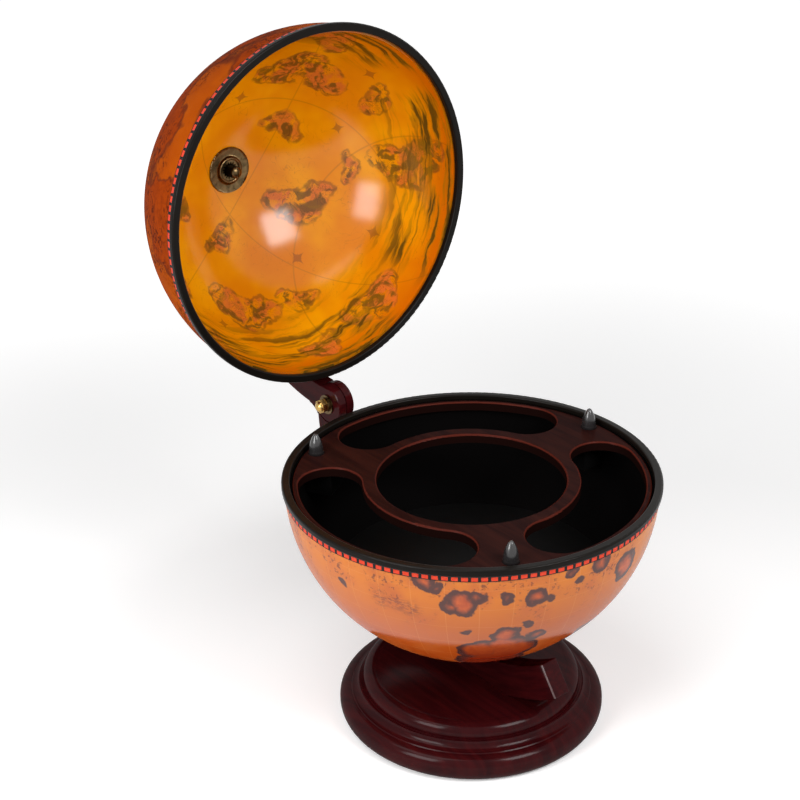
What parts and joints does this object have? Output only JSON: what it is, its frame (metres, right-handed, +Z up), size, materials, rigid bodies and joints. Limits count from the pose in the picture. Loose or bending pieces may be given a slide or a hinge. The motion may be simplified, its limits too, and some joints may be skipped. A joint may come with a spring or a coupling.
{
  "type": "globe bar",
  "caption": "Globe bar: a hinged globe on a half-meridian arm and turned base, its lid swung open over a bowl with a slotted bottle tray.",
  "frame": {"origin": "centre of the base's underside", "axes": "+Z up, +Y towards the hinge at the rear, +X to the right of someone at the front"},
  "size_m": [0.334, 0.5742, 0.605],
  "materials": {
    "felt": "pressed felt",
    "mahogany": "stained and lacquered",
    "tray_wood": "stained, satin lacquer",
    "black_wood": "black paint",
    "black_lacquer": "black lacquer",
    "map_print": "printed paper under gloss lacquer",
    "border_print": "printed strip under gloss lacquer",
    "peg_black": "gloss",
    "antique_brass": "antiqued",
    "polished_brass": "polished",
    "dark_bronze": "blackened",
    "steel": "zinc plated",
    "dark_steel": "blackened",
    "fibre": "plain"
  },
  "bodies": {
    "stand": {"base_felt": "felt", "base_disc": "mahogany", "base_screws": "steel", "lower_arm": "mahogany", "bowl_pivot_bolt": "antique_brass", "bowl_pivot_washer": "steel", "bowl_nut_washer": "steel", "bowl_pivot_nut": "steel", "hinge_bolt": "dark_steel", "hinge_far_washer": "dark_steel", "hinge_lap_washer": "fibre", "hinge_near_washer": "antique_brass", "hinge_boss": "antique_brass", "hinge_dome_nut": "polished_brass"},
    "bowl": {"bowl_shell": "map_print", "bowl_rim_ring": "black_lacquer", "bowl_border_band": "border_print", "bowl_collar": "mahogany", "bowl_bush": "dark_bronze", "bowl_rosette": "antique_brass", "bowl_star_washer": "antique_brass", "tray_board": "tray_wood", "tray_blocks": "black_wood", "floor_disc": "black_wood", "guide_peg_1": "peg_black", "guide_peg_2": "peg_black", "guide_peg_3": "peg_black"},
    "lid_arm": {"upper_arm": "mahogany", "lid_pivot_bolt": "antique_brass", "lid_pivot_washer": "steel", "lid_nut_washer": "antique_brass", "lid_dome_nut": "polished_brass"},
    "lid": {"lid_shell": "map_print", "lid_rim_ring": "black_lacquer", "lid_border_band": "border_print", "lid_collar": "mahogany", "lid_bush": "dark_bronze", "lid_rosette": "antique_brass", "lid_star_washer": "antique_brass"}
  },
  "joints": [
    {"name": "lid_hinge", "type": "hinge", "parent": "stand", "child": "lid_arm", "pos_m": [0, 0.194, 0.244], "axis": [1, 0, 0], "range_deg": [0, 90]},
    {"name": "lid_spin", "type": "hinge", "parent": "lid_arm", "child": "lid", "pos_m": [0, 0.194, 0.438], "axis": [0, 1, 0], "continuous": true},
    {"name": "bowl_spin", "type": "hinge", "parent": "stand", "child": "bowl", "pos_m": [0, 0, 0.244], "axis": [0, 0, 1], "continuous": true}
  ]
}
